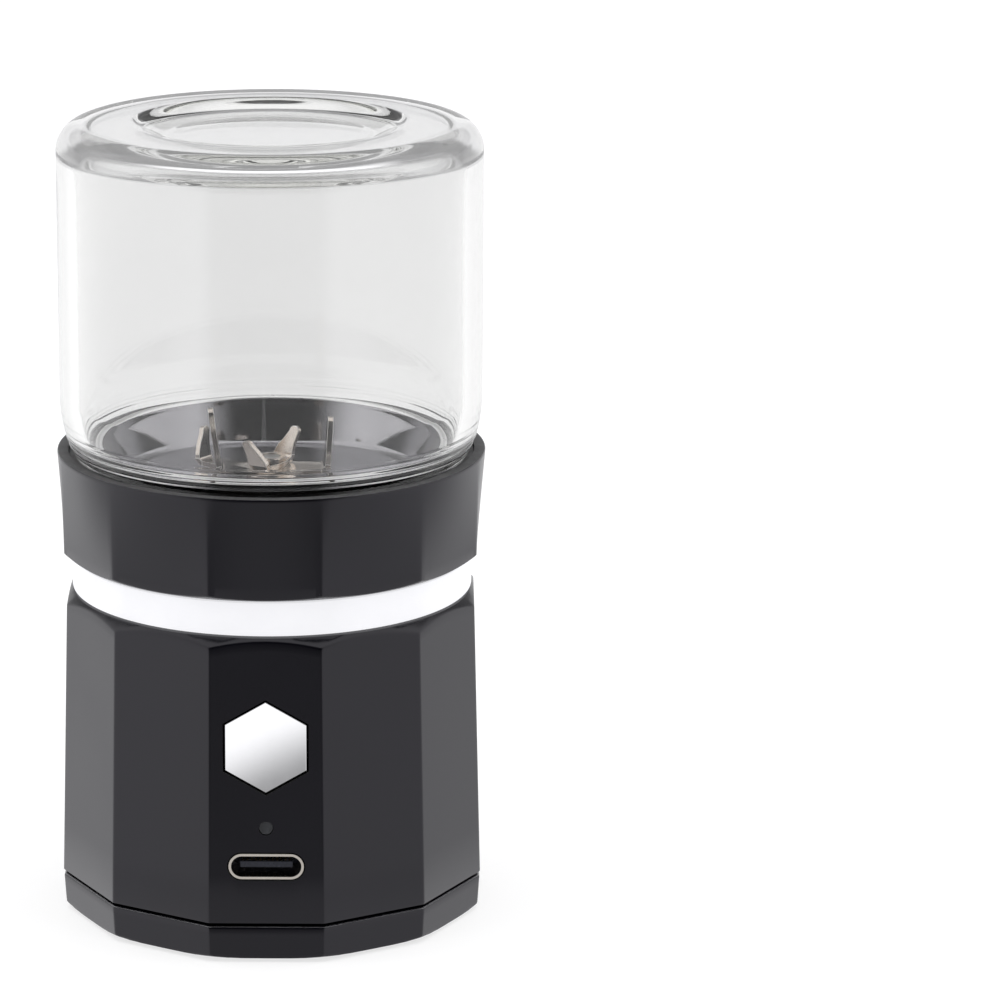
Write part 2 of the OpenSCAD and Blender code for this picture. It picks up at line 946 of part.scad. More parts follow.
// flat arm along +x with a rounded, sharpened end
module flat_arm(reach, w_root, w_end) {
    linear_extrude(blade_t)
        union() {
            polygon([[0, -w_root / 2], [reach - w_end / 2, -w_end / 2],
                [reach - w_end / 2, w_end / 2], [0, w_root / 2]]);
            translate([reach - w_end / 2, 0])
                circle(d = w_end);
        }
}

// blade body at a level of the stack, with its hole for the hub sleeve
module blade(level, turn) {
    translate([0, 0, blade_z + level * blade_t])
        rotate([0, 0, turn])
            difference() {
                union() {
                    cylinder(r = 3.2, h = blade_t - 0.02);
                    children();
                }
                translate([0, 0, -1])
                    cylinder(r = sleeve_r + 0.03, h = blade_t + 2);
                translate([0, 0, blade_t - 0.02])
                    cylinder(r = 3.6, h = 6);
            }
}

module blade_lower() {
    color(steel)
        blade(0, 146) {
            arm(lower_reach, 4.2, 2.6, 2.6, lower_fin_h, 0.5, 1.4, 12);
            rotate([0, 0, 180])
                flat_arm(lower_reach + 1, 4.2, 2.2);
        }
}

module blade_middle() {
    color(steel)
        blade(1, 185) {
            arm(middle_reach, 4.2, 3.2, 3.2, tall_fin_h, 0.4, 1.7, 7);
            rotate([0, 0, 180])
                arm(middle_reach, 4.2, 3.2, 3.2, short_fin_h, 0.4, 1.7, 4);
        }
}

module blade_upper() {
    color(steel)
        translate([0, 0, blade_z + 2 * blade_t])
            rotate([0, 0, 60])
                difference() {
                    union() {
                        cylinder(r = 3.2, h = blade_t - 0.02);
                        for (s = [0, 180])
                            rotate([0, 0, s])
                                arm(upper_reach, 3.6, 2.6, 2.6, upper_fin_h, -1.0, 1.1, 18);
                    }
                    translate([0, 0, -1])
                        cylinder(r = sleeve_r + 0.03, h = blade_t + 2);
                }
}

glass_jar();
jar_seal();
neck_gasket();
collar();
collar_screws();
light_ring();
led_board();
led_chips();
led_leads();
body_shell();
deck_screws();
base_cap();
base_screws();
foot_pads();
power_button();
switch_plunger();
switch_body();
indicator_pipe();
indicator_led();
usb_shell();
usb_tongue();
usb_contacts();
main_board();
board_parts();
chassis();
battery_cell();
battery_pad();
battery_leads();
motor_can();
motor_endcap();
motor_magnets();
motor_bushes();
motor_terminals();
motor_leads();
motor_screws();
motor_mount();
dish_pad();
chamber_dish();
shaft_seal();
motor_shaft();
armature();
commutator();
blade_hub();
blade_lower();
blade_middle();
blade_upper();
blade_nut();
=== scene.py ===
"""A small rechargeable herb grinder: glass jar, steel dish and blades, collar, light ring, faceted body."""

import math

import bmesh
import bpy
from mathutils import Matrix, Vector, noise


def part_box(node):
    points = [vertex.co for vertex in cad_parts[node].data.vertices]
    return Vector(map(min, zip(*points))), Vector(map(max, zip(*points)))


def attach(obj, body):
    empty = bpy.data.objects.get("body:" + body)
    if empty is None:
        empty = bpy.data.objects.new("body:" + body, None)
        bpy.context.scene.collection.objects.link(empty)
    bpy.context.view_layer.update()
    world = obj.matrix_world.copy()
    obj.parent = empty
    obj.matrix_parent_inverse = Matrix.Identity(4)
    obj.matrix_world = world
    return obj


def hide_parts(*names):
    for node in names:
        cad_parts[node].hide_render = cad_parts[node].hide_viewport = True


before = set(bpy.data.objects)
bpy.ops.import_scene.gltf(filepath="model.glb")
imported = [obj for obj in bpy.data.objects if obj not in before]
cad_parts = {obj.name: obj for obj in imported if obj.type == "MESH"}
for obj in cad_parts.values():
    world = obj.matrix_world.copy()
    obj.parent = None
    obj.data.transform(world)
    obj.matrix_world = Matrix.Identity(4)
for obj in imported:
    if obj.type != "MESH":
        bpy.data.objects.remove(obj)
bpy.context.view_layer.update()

MM = 0.001
SIDES = 12
STEP = 2 * math.pi / SIDES
HALF = STEP / 2
FRONT = -math.pi / 2


def lerp(a, b, t):
    return a + (b - a) * t


# ---------------------------------------------------------------- where the CAD says things are


def low(node):
    return [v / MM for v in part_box(node)[0]]


def high(node):
    return [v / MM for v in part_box(node)[1]]


CAP_Z0, CAP_FOOT_R = low("base_cap")[2], 25.3
BODY_Z0, BODY_Z1 = low("body_shell")[2], high("body_shell")[2]
CAP_Z1 = BODY_Z0 - 0.4
RING_R = high("light_ring")[0]
COLLAR_Z0, COLLAR_Z1 = high("light_ring")[2], high("collar")[2]
COLLAR_R = high("collar")[0]
JAR_R = high("glass_jar")[0]
JAR_Z0, JAR_Z1 = low("glass_jar")[2], high("glass_jar")[2]
DISH_Z1, DISH_RIM_R = high("chamber_dish")[2], high("chamber_dish")[0]
DISH_Z = DISH_Z1 - 6.0
BLADE_Z = low("blade_lower")[2]
BUTTON_Z = (low("power_button")[2] + high("power_button")[2]) / 2
USB_Z = (low("usb_shell")[2] + high("usb_shell")[2]) / 2
PIPE_Z = (low("indicator_pipe")[2] + high("indicator_pipe")[2]) / 2

# the body's twelve-sided taper: corner radius at its lower edge and at the chamfer's corners
BODY_R_LOW, BODY_R_HIGH = 26.49, 25.56
BODY_CORNER_Z = BODY_Z1 - 1.14
BODY_TOP_R = 24.3
TAPER = (BODY_R_LOW - BODY_R_HIGH) / (BODY_CORNER_Z - BODY_Z0)
FACET_TILT = math.atan(TAPER * math.cos(HALF))


# ---------------------------------------------------------------- materials


class Nodes:
    """Short hand for one material's node tree."""

    def __init__(self, name):
        self.mat = bpy.data.materials.new(name)
        self.mat.use_nodes = True
        self.tree = self.mat.node_tree
        self.tree.nodes.clear()
        self.out = self.add("ShaderNodeOutputMaterial")
        self.bsdf = self.add("ShaderNodeBsdfPrincipled")
        self.join(self.bsdf, "BSDF", self.out, "Surface")

    def add(self, kind, **values):
        node = self.tree.nodes.new(kind)
        for key, value in values.items():
            if hasattr(node, key):
                setattr(node, key, value)
            else:
                node.inputs[key.replace("_", " ")].default_value = value
        return node

    def join(self, a, a_out, b, b_in):
        self.tree.links.new(a.outputs[a_out], b.inputs[b_in])

    def set(self, **values):
        for key, value in values.items():
            self.bsdf.inputs[key.replace("_", " ")].default_value = value

    def coords(self, scale=(1, 1, 1)):
        where = self.add("ShaderNodeTexCoord")
        mapping = self.add("ShaderNodeMapping")
        mapping.inputs["Scale"].default_value = scale
        self.join(where, "Object", mapping, "Vector")
        return mapping

    def noise(self, scale, detail=3.0, stretch=(1, 1, 1), rough=0.5):
        tex = self.add("ShaderNodeTexNoise", Scale=scale, Detail=detail, Roughness=rough)
        self.join(self.coords(stretch), "Vector", tex, "Vector")
        return tex

    def ramp(self, source, out, stops):
        ramp = self.add("ShaderNodeValToRGB")
        self.join(source, out, ramp, "Fac")
        elements = ramp.color_ramp.elements
        while len(elements) < len(stops):
            elements.new(0.5)
        for element, (pos, value) in zip(elements, stops):
            element.position = pos
            element.color = (*value, 1.0) if isinstance(value, tuple) else (value, value, value, 1.0)
        return ramp

    def spread(self, source, low_value, high_value, socket):
        """Drives one socket between two values with a 0 to 1 texture."""
        span = self.add("ShaderNodeMapRange")
        span.inputs["From Min"].default_value = 0.3
        span.inputs["From Max"].default_value = 0.7
        span.inputs["To Min"].default_value = low_value
        span.inputs["To Max"].default_value = high_value
        self.join(source, 0, span, "Value")
        self.tree.links.new(span.outputs[0], self.bsdf.inputs[socket])

    def tint(self, source, dark, light):
        mix = self.ramp(source, 0, [(0.3, dark), (0.7, light)])
        self.join(mix, "Color", self.bsdf, "Base Color")

    def bump(self, source, strength, distance):
        bump = self.add("ShaderNodeBump", Strength=strength, Distance=distance)
        self.join(source, 0, bump, "Height")
        self.join(bump, "Normal", self.bsdf, "Normal")
        return bump


def satin_black(name="satin_black_paint", rough=(0.2, 0.26), base=(0.0016, 0.0015, 0.0030)):
    m = Nodes(name)
    grain = m.noise(2600, 4)
    cloud = m.noise(90, 3)
    m.tint(cloud, base, tuple(1.5 * v for v in base))
    m.spread(cloud, rough[0], rough[1], "Roughness")
    m.bump(grain, 0.10, 0.00002)
    m.set(IOR=1.43, Specular_Tint=(0.96, 0.94, 1.0, 1.0))
    return m.mat


def moulded_black(name, base=(0.012, 0.012, 0.013), rough=(0.45, 0.6), bump=0.25):
    m = Nodes(name)
    grain = m.noise(3200, 5)
    m.tint(grain, tuple(0.8 * v for v in base), tuple(1.3 * v for v in base))
    m.spread(m.noise(400, 3), rough[0], rough[1], "Roughness")
    m.bump(grain, bump, 0.00003)
    m.set(IOR=1.45)
    return m.mat


def metal(name, base, rough, grain_scale=900, stretch=(1, 1, 1), bump=0.1, depth=0.00001, spots=0.06):
    m = Nodes(name)
    grain = m.noise(grain_scale, 6, stretch, 0.6)
    cloud = m.noise(160, 4)
    m.tint(cloud, tuple(v * (1 - spots) for v in base), base)
    m.spread(grain, rough[0], rough[1], "Roughness")
    m.bump(grain, bump, depth)
    m.set(Metallic=1.0)
    return m.mat


def spun_steel():
    """Polished dish steel with the faint concentric marks of spinning and polishing."""
    m = Nodes("spun_polished_steel")
    where = m.add("ShaderNodeTexCoord")
    parts = m.add("ShaderNodeSeparateXYZ")
    m.join(where, "Object", parts, "Vector")
    flat = m.add("ShaderNodeCombineXYZ")
    m.join(parts, "X", flat, "X")
    m.join(parts, "Y", flat, "Y")
    length = m.add("ShaderNodeVectorMath", operation="LENGTH")
    m.join(flat, "Vector", length, 0)
    spread = m.add("ShaderNodeCombineXYZ")
    m.join(length, "Value", spread, "X")
    m.join(parts, "Z", spread, "Y")
    rings = m.add("ShaderNodeTexNoise", Scale=1500.0, Detail=4.0)
    m.join(spread, "Vector", rings, "Vector")
    cloud = m.noise(120, 3)
    m.tint(cloud, (0.34, 0.335, 0.35), (0.40, 0.395, 0.41))
    m.spread(rings, 0.03, 0.08, "Roughness")
    m.bump(rings, 0.12, 0.000012)
    m.set(Metallic=1.0)
    return m.mat


def rubber(name, base=(0.012, 0.012, 0.012)):
    m = Nodes(name)
    grain = m.noise(1800, 4)
    m.tint(grain, base, tuple(1.6 * v for v in base))
    m.spread(grain, 0.55, 0.75, "Roughness")
    m.bump(grain, 0.2, 0.00003)
    return m.mat


def jar_glass():
    m = Nodes("jar_glass")
    wave = m.noise(34, 2, (1, 1, 0.45))
    m.tint(wave, (0.822, 0.822, 0.822), (0.852, 0.852, 0.85))
    m.bump(wave, 0.06, 0.0006)
    m.set(IOR=1.5, Transmission_Weight=1.0, Roughness=0.0)
    absorb = m.add("ShaderNodeVolumeAbsorption", Density=9.0)
    absorb.inputs["Color"].default_value = (0.74, 0.75, 0.64, 1.0)
    m.join(absorb, "Volume", m.out, "Volume")
    return m.mat


def diffuser():
    m = Nodes("lit_diffuser")
    cloud = m.noise(220, 3)
    m.tint(cloud, (0.22, 0.22, 0.23), (0.25, 0.25, 0.26))
    m.spread(m.noise(2500, 4), 0.45, 0.6, "Roughness")
    m.set(Emission_Color=(0.97, 0.97, 1.0, 1.0), Emission_Strength=0.73)
    return m.mat


def board():
    m = Nodes("board_green")
    trace = m.noise(700, 2, (1, 1, 0.2))
    steps = m.ramp(trace, "Fac", [(0.48, (0.004, 0.07, 0.03)), (0.52, (0.01, 0.13, 0.05))])
    m.join(steps, "Color", m.bsdf, "Base Color")
    m.spread(m.noise(1500, 3), 0.25, 0.4, "Roughness")
    m.bump(trace, 0.2, 0.00002)
    return m.mat


def plastic(name, dark, light, rough=(0.3, 0.45), bump=0.08, **extra):
    m = Nodes(name)
    grain = m.noise(1200, 4)
    m.tint(grain, dark, light)
    m.spread(grain, rough[0], rough[1], "Roughness")
    m.bump(grain, bump, 0.00002)
    m.set(**extra)
    return m.mat


def cast_alloy():
    m = Nodes("cast_alloy")
    grain = m.noise(1400, 5)
    m.tint(grain, (0.30, 0.30, 0.32), (0.44, 0.44, 0.46))
    m.spread(grain, 0.4, 0.6, "Roughness")
    m.bump(grain, 0.35, 0.00004)
    m.set(Metallic=1.0)
    return m.mat


SATIN = satin_black()
RIM = moulded_black("rim_black", (0.078, 0.078, 0.079), (0.5, 0.65), 0.35)
# lighter metal for a thin bevel, a painted highlight line
EDGE_HIGHLIGHT = metal("painted_edge_highlight", (0.42, 0.42, 0.43), (0.3, 0.45), 2500, bump=0.3)
MOULDED = moulded_black("moulded_black")
SILICONE = rubber("silicone_black")
GLASS = jar_glass()
DIFFUSER = diffuser()
SPUN = spun_steel()
BLADE = metal("ground_blade_steel", (0.66, 0.60, 0.54), (0.07, 0.16), 1300, (1, 1, 0.25), 0.3, 0.00002, 0.14)
# near-white metal for the blades' bevelled edges, a painted highlight outline
BLADE_EDGE_HIGHLIGHT = metal("painted_blade_edge_highlight", (0.97, 0.95, 0.92), (0.3, 0.45), 1500, bump=0.3, spots=0.3)
SCREW = metal("plated_screw_steel", (0.58, 0.58, 0.57), (0.25, 0.4))
MOTOR_STEEL = metal("zinc_plated_steel", (0.66, 0.67, 0.66), (0.22, 0.4), 500, spots=0.15)
USB_STEEL = metal("socket_steel", (0.86, 0.80, 0.72), (0.12, 0.22), 1500)
GOLD = metal("gold_plate", (0.83, 0.62, 0.28), (0.2, 0.32), 1500)
# gold darkened for the contacts deep inside the socket: painted shade
SHADED_GOLD = metal("gold_plate_painted_shade", (0.22, 0.17, 0.08), (0.3, 0.45), 1500)
TONGUE = moulded_black("tongue_black", (0.02, 0.022, 0.034), (0.2, 0.32), 0.1)
COPPER = metal("enamelled_copper", (0.62, 0.26, 0.12), (0.25, 0.4), 1500, (1, 1, 6), 0.4, 0.00004)
# near-white metal for the dish's rolled lip, a painted rim highlight
LIP_HIGHLIGHT = metal("dish_lip_painted_highlight", (0.98, 0.98, 0.97), (0.26, 0.36), 700, bump=0.02)
MIRROR = metal("mirror_polish", (0.93, 0.93, 0.94), (0.015, 0.03), 600, spots=0.02, bump=0.01)
FOIL = metal("battery_foil", (0.62, 0.64, 0.68), (0.3, 0.42), 700, spots=0.12, bump=0.3, depth=0.00006)
ALLOY = cast_alloy()
BOARD = board()
CHIP = moulded_black("chip_black", (0.014, 0.014, 0.015))
FERRITE = moulded_black("ferrite", (0.05, 0.048, 0.045))
FOAM = rubber("foam_grey", (0.05, 0.05, 0.055))
RED = plastic("insulation_red", (0.42, 0.02, 0.02), (0.55, 0.03, 0.03))
BLUE = plastic("insulation_blue", (0.02, 0.05, 0.32), (0.03, 0.08, 0.45))
LED = plastic("led_body", (0.85, 0.8, 0.55), (0.95, 0.92, 0.75), (0.2, 0.3),
              Emission_Color=(1.0, 0.98, 0.92, 1.0), Emission_Strength=0.6)
WINDOW = plastic("smoked_window", (0.016, 0.017, 0.019), (0.06, 0.063, 0.07), (0.05, 0.25), 1.0,
                 Transmission_Weight=0.35, IOR=1.49)

CAD_LOOKS = {
    "jar_seal": RIM, "neck_gasket": SILICONE, "foot_pads": SILICONE, "shaft_seal": SILICONE,
    "dish_pad": SILICONE, "collar_screws": SCREW, "deck_screws": SCREW, "base_screws": SCREW,
    "motor_screws": SCREW, "motor_shaft": SCREW, "led_board": BOARD, "main_board": BOARD,
    "board_parts": CHIP, "led_chips": LED, "indicator_led": LED, "led_leads": RED,
    "battery_leads": RED, "motor_leads": BLUE, "switch_plunger": MOULDED, "switch_body": MOTOR_STEEL,
    # the USB contacts take the darkened gold, painted shade of the socket's inside
    "indicator_pipe": WINDOW, "usb_shell": USB_STEEL, "usb_tongue": TONGUE, "usb_contacts": SHADED_GOLD,
    "chassis": MOULDED, "battery_cell": FOIL, "battery_pad": FOAM, "motor_can": MOTOR_STEEL,
    "motor_endcap": MOULDED, "motor_magnets": FERRITE, "motor_bushes": GOLD,
    "motor_terminals": GOLD, "motor_mount": ALLOY, "armature": COPPER, "commutator": GOLD,
}
for node_name, look in CAD_LOOKS.items():
    cad_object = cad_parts[node_name]
    cad_object.data.materials.clear()
    cad_object.data.materials.append(look)


# ---------------------------------------------------------------- mesh helpers


def finish_mesh(name, bm, material, sharp_deg=30):
    bmesh.ops.recalc_face_normals(bm, faces=bm.faces)
    mesh = bpy.data.meshes.new(name)
    bm.to_mesh(mesh)
    bm.free()
    mesh.polygons.foreach_set("use_smooth", [True] * len(mesh.polygons))
    mesh.set_sharp_from_angle(angle=math.radians(sharp_deg))
    mesh.materials.append(material)
    piece = bpy.data.objects.new(name, mesh)
    bpy.context.scene.collection.objects.link(piece)
    return piece


def lathe_bmesh(profile, segments=192, wobble=None):
    """Turns a closed profile of (radius, z) in millimetres about the z axis. A zero radius is a pole."""
    bm = bmesh.new()
    rings = []
    for r, z in profile:
        if r < 1e-6:
            rings.append([bm.verts.new((0, 0, z * MM))])
            continue
        ring = []
        for i in range(segments):
            a = 2 * math.pi * i / segments
            rr = r + (wobble(a, r, z) if wobble else 0.0)
            ring.append(bm.verts.new((rr * MM * math.cos(a), rr * MM * math.sin(a), z * MM)))
        rings.append(ring)
    for k, ring in enumerate(rings):
        other = rings[(k + 1) % len(rings)]
        if len(ring) == 1 and len(other) == 1:
            continue
        for i in range(segments):
            j = (i + 1) % segments
            if len(ring) == 1:
                bm.faces.new((ring[0], other[j], other[i]))
            elif len(other) == 1:
                bm.faces.new((ring[i], ring[j], other[0]))
            else:
                bm.faces.new((ring[i], ring[j], other[j], other[i]))
    return bm


def lathe(name, profile, material, segments=192, sharp_deg=30, wobble=None):
    return finish_mesh(name, lathe_bmesh(profile, segments, wobble), material, sharp_deg)


def arc(cx, cz, r, a0, a1, steps):
    """Points of a circular arc in the (radius, z) plane, angles in degrees."""
    points = []
    for i in range(steps + 1):
        a = math.radians(lerp(a0, a1, i / steps))
        points.append((cx + r * math.cos(a), cz + r * math.sin(a)))
    return points


def facet_angles(edge_steps=3, edge=0.9, inner=8):
    """Azimuths round the axis, packed close beside each of the twelve corners."""
    angles = []
    for k in range(SIDES):
        centre = FRONT + k * STEP
        left, right = centre - HALF, centre + HALF
        band = math.radians(edge)
        angles += [left + band * i / edge_steps for i in range(edge_steps)]
        inside = right - left - 2 * band
        angles += [left + band + inside * i / inner for i in range(inner)]
        angles += [right - band + band * i / edge_steps for i in range(edge_steps)]
    return angles


def polygon_factor(a, rounding=0.0):
    """Radius of a unit-inradius dodecagon at azimuth a; rounding softens its corners."""
    d = (a - FRONT + HALF) % STEP - HALF
    flat = 1.0 / math.cos(d)
    if rounding <= 0.0:
        return flat
    corner = HALF - abs(d)
    soft = math.radians(rounding)
    if corner >= soft:
        return flat
    slope = math.tan(HALF) * (1.0 / math.cos(HALF))
    t = 1.0 - corner / soft
    return flat - slope * soft * 0.25 * t * t


def polar_bmesh(rows, angles):
    """Closed shell whose rows are functions of azimuth that give (radius, z) in millimetres."""
    bm = bmesh.new()
    rings = []
    for row in rows:
        ring = []
        for a in angles:
            r, z = row(a)
            ring.append(bm.verts.new((r * MM * math.cos(a), r * MM * math.sin(a), z * MM)))
        rings.append(ring)
    count = len(angles)
    for k, ring in enumerate(rings):
        other = rings[(k + 1) % len(rings)]
        for i in range(count):
            j = (i + 1) % count
            bm.faces.new((ring[i], ring[j], other[j], other[i]))
    return bm


def prism_bmesh(outline, y0, y1):
    """Straight prism along y from an outline of (x, z) in metres."""
    bm = bmesh.new()
    near = [bm.verts.new((x, y0, z)) for x, z in outline]
    far = [bm.verts.new((x, y1, z)) for x, z in outline]
    bm.faces.new(near)
    bm.faces.new(list(reversed(far)))
    count = len(outline)
    for i in range(count):
        j = (i + 1) % count
        bm.faces.new((near[j], near[i], far[i], far[j]))
    bmesh.ops.recalc_face_normals(bm, faces=bm.faces)
    return bm


def hexagon_outline(af, z):
    r = af / 2 / math.cos(math.radians(30))
    return [(r * MM * math.cos(math.radians(90 + 60 * k)), (z + r * math.sin(math.radians(90 + 60 * k))) * MM)
            for k in range(6)]


def stadium_outline(w, h, z, steps=16):
    points = []
    for side, a0 in ((1, -90), (-1, 90)):
        for i in range(steps + 1):
            a = math.radians(a0 + 180 * i / steps)
            points.append(((side * (w - h) / 2 + h / 2 * math.cos(a)) * MM, (z + h / 2 * math.sin(a)) * MM))
    return points


def circle_outline(r, z, steps=48):
    return [(r * MM * math.cos(2 * math.pi * i / steps), (z + r * math.sin(2 * math.pi * i / steps)) * MM)
            for i in range(steps)]


def cut(piece, outlines, y0, y1):
    """Cuts straight openings through a piece and applies the result to its mesh."""
    for k, outline in enumerate(outlines):
        mesh = bpy.data.meshes.new("cutter")
        bm = prism_bmesh(outline, y0, y1)
        bm.to_mesh(mesh)
        bm.free()
        mesh.materials.append(SILICONE)
        cutter = bpy.data.objects.new("cutter", mesh)
        bpy.context.scene.collection.objects.link(cutter)
        mod = piece.modifiers.new("cut%d" % k, "BOOLEAN")
        mod.operation, mod.solver, mod.object = "DIFFERENCE", "EXACT", cutter
        mod.material_mode = "TRANSFER"
        depsgraph = bpy.context.evaluated_depsgraph_get()
        done = bpy.data.meshes.new_from_object(piece.evaluated_get(depsgraph))
        piece.modifiers.clear()
        old = piece.data
        piece.data = done
        bpy.data.meshes.remove(old)
        bpy.data.objects.remove(cutter)
        bpy.data.meshes.remove(mesh)


def fixed(*points):
    """Rows for polar_bmesh that keep one radius and height all the way round."""
    return [lambda a, r=r, z=z: (r, z) for r, z in points]


# ---------------------------------------------------------------- body shell and base cap


def facet_r(z):
    return (BODY_R_LOW - (z - BODY_Z0) * TAPER) * math.cos(HALF)


def body_shell():
    soft = 0.55
    edge = 0.16
    cone = (BODY_Z1 - BODY_CORNER_Z) / (BODY_TOP_R - BODY_R_HIGH)

    def top_z(a):
        """Height where the cone over the facet tops meets the facet at azimuth a."""
        f = polygon_factor(a, soft)
        z = BODY_CORNER_Z
        for _ in range(12):
            z = BODY_Z1 + cone * (facet_r(z) * f - BODY_TOP_R)
        return z

    def side(dz, inset=0.0):
        return lambda a: (facet_r(BODY_Z0 + dz) * polygon_factor(a, soft) - inset, BODY_Z0 + dz)

    def near_top(drop):
        return lambda a: (facet_r(top_z(a) - drop) * polygon_factor(a, soft), top_z(a) - drop)

    def on_cone(t, lift=0.0):
        def row(a):
            z0 = top_z(a)
            r0 = facet_r(z0) * polygon_factor(a, soft)
            return lerp(r0, BODY_TOP_R, t), lerp(z0, BODY_Z1, t) + lift
        return row

    def blend_row(a):
        r1, z1 = near_top(edge)(a)
        r2, z2 = on_cone(min(0.9, edge / max(0.25, BODY_Z1 - top_z(a))))(a)
        r0, z0 = on_cone(0.0)(a)
        return (r1 + 2 * r0 + r2) / 4, (z1 + 2 * z0 + z2) / 4

    def cone_start(a):
        return on_cone(min(0.9, edge / max(0.25, BODY_Z1 - top_z(a))))(a)

    bore = 22.9
    rows = [side(0.0, 0.14), side(0.04, 0.045), side(0.14)]
    rows += [side(6.0), side(14.0), side(22.0), side(29.0)]
    rows += [near_top(1.2), near_top(edge), blend_row, cone_start]
    deck_z, deck_hole_r = BODY_Z1 - 3.0, 14.2
    rows += [on_cone(0.93)]
    rows += fixed((BODY_TOP_R - 0.07, BODY_Z1 - 0.015), (BODY_TOP_R - 0.2, BODY_Z1))
    rows += fixed((deck_hole_r, BODY_Z1), (deck_hole_r, deck_z), (bore, deck_z), (bore, BODY_Z0))
    piece = finish_mesh("body_shell_skin", polar_bmesh(rows, facet_angles()), SATIN, 25)
    y_out, y_in = -0.03, -0.02
    cut(piece, [
        hexagon_outline(9.65 + 0.5, BUTTON_Z),
        circle_outline(0.86, PIPE_Z),
        stadium_outline(8.94 + 0.34, 3.16 + 0.34, USB_Z),
    ], y_out, y_in)
    piece.data.set_sharp_from_angle(angle=math.radians(25))
    return piece


def highlight_band(piece, z0, z1, min_slope, material=None):
    """Gives the faces of an edge bevel, between two heights, their own lighter metal: a painted highlight."""
    piece.data.materials.append(material or EDGE_HIGHLIGHT)
    index = len(piece.data.materials) - 1
    for face in piece.data.polygons:
        if z0 * MM < face.center.z < z1 * MM and min_slope < abs(face.normal.z) < 0.97:
            face.material_index = index


def base_cap():
    soft = 0.55
    r_low, r_high = 26.18, 26.45

    def side_r(z):
        return lerp(r_low, r_high, (z - CAP_Z0) / (CAP_Z1 - CAP_Z0)) * math.cos(HALF)

    def foot_r(z):
        """Turned rounding at the foot: radius of the blank at height z."""
        h, corner = 1.25, 26.6
        if z >= CAP_Z0 + h:
            return corner
        s = 1 - (z - CAP_Z0) / h
        return CAP_FOOT_R + (corner - CAP_FOOT_R) * math.sqrt(max(0.0, 1 - s * s))

    def outer(z):
        def row(a):
            facet = side_r(z) * polygon_factor(a, soft)
            blank = foot_r(z)
            gap = facet - blank
            width = 0.10
            mixed = 0.5 * (facet + blank - math.sqrt(gap * gap + width * width))
            return mixed, z
        return row

    def level(z, inset):
        return lambda a: (side_r(z) * polygon_factor(a, soft) - inset, z)

    heights = [0.0, 0.02, 0.06, 0.12, 0.2, 0.3, 0.42, 0.55, 0.7, 0.85, 1.0, 1.15, 1.3, 1.5, 2.2, 3.0]
    rows = [outer(CAP_Z0 + h) for h in heights]
    top = CAP_Z1
    rows += [outer(top - 0.36), level(top - 0.22, 0.05), level(top - 0.12, 0.10)]
    rows += [level(top - 0.03, 0.24), level(top, 0.38)]
    spigot_r, spigot_bore, spigot_z = 22.7, 21.3, top + 0.2
    floor_z, centre_r = CAP_Z0 + 1.8, 1.0
    rows += fixed((spigot_r, top), (spigot_r, spigot_z), (spigot_bore, spigot_z))
    rows += fixed((spigot_bore, floor_z), (centre_r, floor_z), (centre_r, CAP_Z0))
    piece = finish_mesh("base_cap_skin", polar_bmesh(rows, facet_angles()), SATIN, 30)
    # the cap's top bevel gets the lighter metal as a painted highlight
    highlight_band(piece, top - 0.13, top - 0.02, 0.3)
    return piece


# ---------------------------------------------------------------- collar and light ring


def collar():
    r_low = 24.9
    height = COLLAR_Z1 - COLLAR_Z0

    def skin(z):
        t = (z - COLLAR_Z0) / height
        def row(a):
            return lerp(r_low * polygon_factor(a, 0.4 + 4.0 * t), COLLAR_R, t), z
        return row

    def chamfer_z(a):
        return COLLAR_Z0 + (r_low * polygon_factor(a, 0.4) - (r_low - 0.25)) / 1.9

    def foot(t):
        def row(a):
            r, z = skin(chamfer_z(a) + 0.05)(a)
            return lerp(r_low - 0.25, r, t), lerp(COLLAR_Z0, z, t)
        return row

    levels = 14
    rows = [lambda a: (r_low - 0.42, COLLAR_Z0), foot(0.0), foot(0.5), foot(0.88)]
    rows += [lambda a: skin(chamfer_z(a) + 0.16)(a)]
    rows += [skin(COLLAR_Z0 + 0.9 + (height - 1.3) * i / levels) for i in range(1, levels + 1)]
    rim = 0.22
    for drop, inset in ((rim, 0.0), (0.1, 0.04), (0.03, 0.10), (0.0, 0.22)):
        rows.append(lambda a, z=COLLAR_Z1 - drop, inset=inset: (skin(z)(a)[0] - inset, z))
    bore = 24.6
    seat_z, lip_z, deck_z = COLLAR_Z0 + 4.4, COLLAR_Z0 + 5.8, COLLAR_Z0 + 2.8
    lip_r, lip_bore, deck_bore = 21.5, 19.9, 14.4
    rows += fixed((bore + 0.15, COLLAR_Z1), (bore + 0.03, COLLAR_Z1 - 0.05), (bore, COLLAR_Z1 - 0.2))
    rows += fixed((bore, seat_z), (lip_r, seat_z), (lip_r, lip_z), (lip_bore, lip_z))
    rows += fixed((lip_bore, deck_z), (deck_bore, deck_z), (deck_bore, COLLAR_Z0))
    piece = finish_mesh("collar_skin", polar_bmesh(rows, facet_angles(4, 2.0, 10)), SATIN, 32)
    piece.data.materials.append(RIM)
    for face in piece.data.polygons:
        if abs(face.normal.z) > 0.9 and face.center.z > (COLLAR_Z1 - 0.05) * MM:
            face.material_index = 1
    return piece


def light_ring():
    z0, z1 = BODY_Z1, COLLAR_Z0
    e = 0.12
    profile = [(RING_R - 1.6, z0), (RING_R - 1.6, z0 + 0.25)]
    profile += arc(RING_R - e, z0 + 0.25 + e, e, -90, 0, 4)
    profile += arc(RING_R - e, z1 - 0.25 - e, e, 0, 90, 4)
    profile += [(RING_R - 1.6, z1 - 0.25), (RING_R - 1.6, z1), (21.0, z1), (21.0, z0)]
    return lathe("light_ring_diffuser", profile, DIFFUSER)


# ---------------------------------------------------------------- jar


